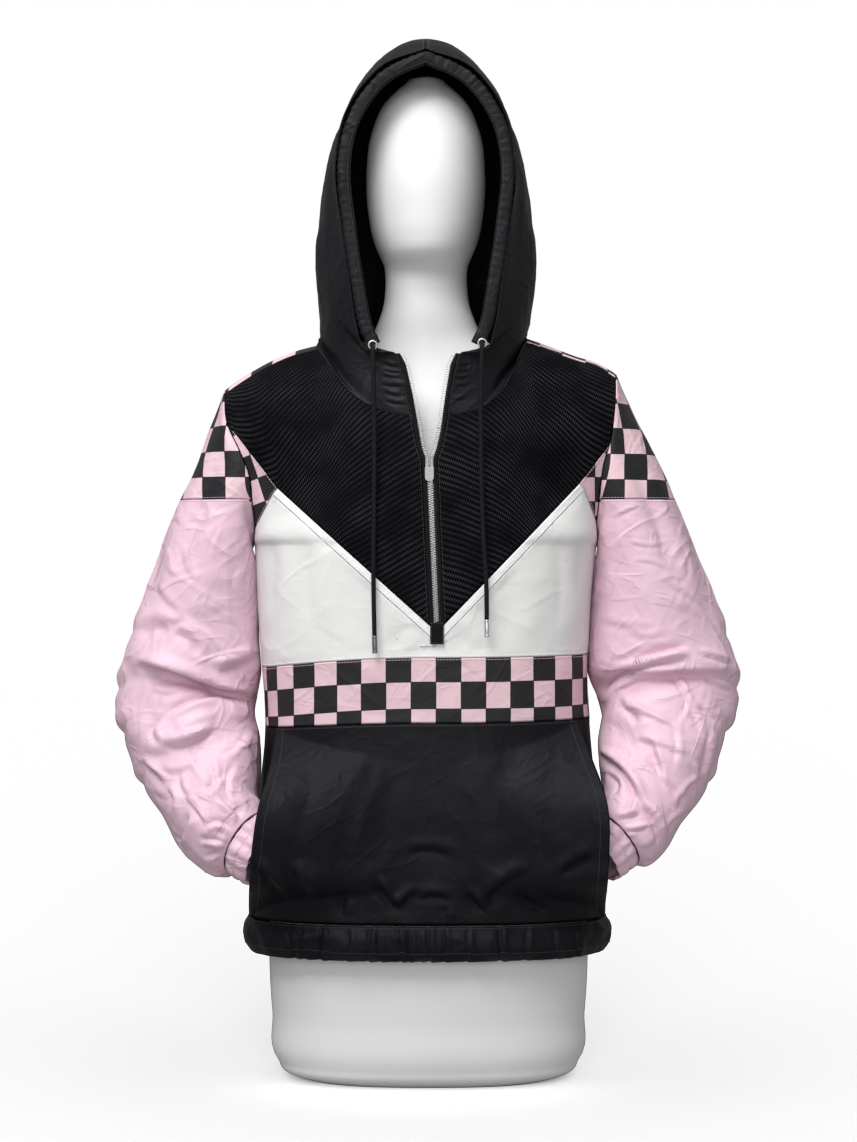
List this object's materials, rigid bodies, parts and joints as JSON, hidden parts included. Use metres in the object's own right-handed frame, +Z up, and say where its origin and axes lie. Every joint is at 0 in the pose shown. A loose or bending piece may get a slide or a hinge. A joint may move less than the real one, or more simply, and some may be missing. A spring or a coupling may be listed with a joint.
{
  "type": "windbreaker jacket on a dress form",
  "caption": "Hooded half-zip windbreaker with a mesh V yoke, check bands, full sleeves, pouch pocket and gathered hem, standing on a plain dress form.",
  "frame": {"origin": "middle of the dress form's flat base", "axes": "+Z up from the base to the hood, -Y the way the jacket faces, +X to the right of someone looking at its front"},
  "size_m": [0.6817, 0.2997, 1.1318],
  "materials": {
    "aglet_left": "nickel",
    "aglet_right": "nickel",
    "back": "matt nylon",
    "back_yoke": "printed nylon",
    "check_band": "printed nylon",
    "chest_panel": "matt nylon",
    "cord_left": "braided cord",
    "cord_right": "braided cord",
    "cuff_left": "gathered nylon",
    "cuff_right": "gathered nylon",
    "dress_form": "matt white",
    "eyelet_left": "nickel",
    "eyelet_right": "nickel",
    "front_lower": "matt nylon",
    "hem_band": "gathered nylon",
    "hood_casing": "gathered nylon",
    "hood_left": "matt nylon",
    "hood_right": "matt nylon",
    "pocket": "matt nylon",
    "side_check_left": "printed nylon",
    "side_check_right": "printed nylon",
    "sleeve_cap_left": "printed nylon",
    "sleeve_cap_right": "printed nylon",
    "sleeve_left": "crinkled nylon",
    "sleeve_right": "crinkled nylon",
    "v_trim_left": "topstitched nylon",
    "v_trim_right": "topstitched nylon",
    "yoke_left": "open mesh",
    "yoke_right": "open mesh",
    "zip_pull": "dark nickel",
    "zip_slider": "dark nickel",
    "zip_tab": "matt nylon",
    "zip_tape_left": "woven tape",
    "zip_tape_right": "woven tape",
    "zip_teeth_left": "nickel",
    "zip_teeth_right": "nickel"
  },
  "bodies": {
    "jacket_on_form": {"aglet_left": "aglet_left", "aglet_right": "aglet_right", "back": "back", "back_yoke": "back_yoke", "check_band": "check_band", "chest_panel": "chest_panel", "cord_left": "cord_left", "cord_right": "cord_right", "cuff_left": "cuff_left", "cuff_right": "cuff_right", "dress_form": "dress_form", "eyelet_left": "eyelet_left", "eyelet_right": "eyelet_right", "front_lower": "front_lower", "hem_band": "hem_band", "hood_casing": "hood_casing", "hood_left": "hood_left", "hood_right": "hood_right", "pocket": "pocket", "side_check_left": "side_check_left", "side_check_right": "side_check_right", "sleeve_cap_left": "sleeve_cap_left", "sleeve_cap_right": "sleeve_cap_right", "sleeve_left": "sleeve_left", "sleeve_right": "sleeve_right", "v_trim_left": "v_trim_left", "v_trim_right": "v_trim_right", "yoke_left": "yoke_left", "yoke_right": "yoke_right", "zip_slider": "zip_slider", "zip_tab": "zip_tab", "zip_tape_left": "zip_tape_left", "zip_tape_right": "zip_tape_right", "zip_teeth_left": "zip_teeth_left", "zip_teeth_right": "zip_teeth_right"},
    "pull_tab": {"zip_pull": "zip_pull"}
  },
  "joints": [
    {"name": "pull_swing", "type": "hinge", "parent": "jacket_on_form", "child": "pull_tab", "pos_m": [0.0009, -0.13179, 0.67059], "axis": [-1, 0, 0], "range_deg": [0, 150]}
  ]
}
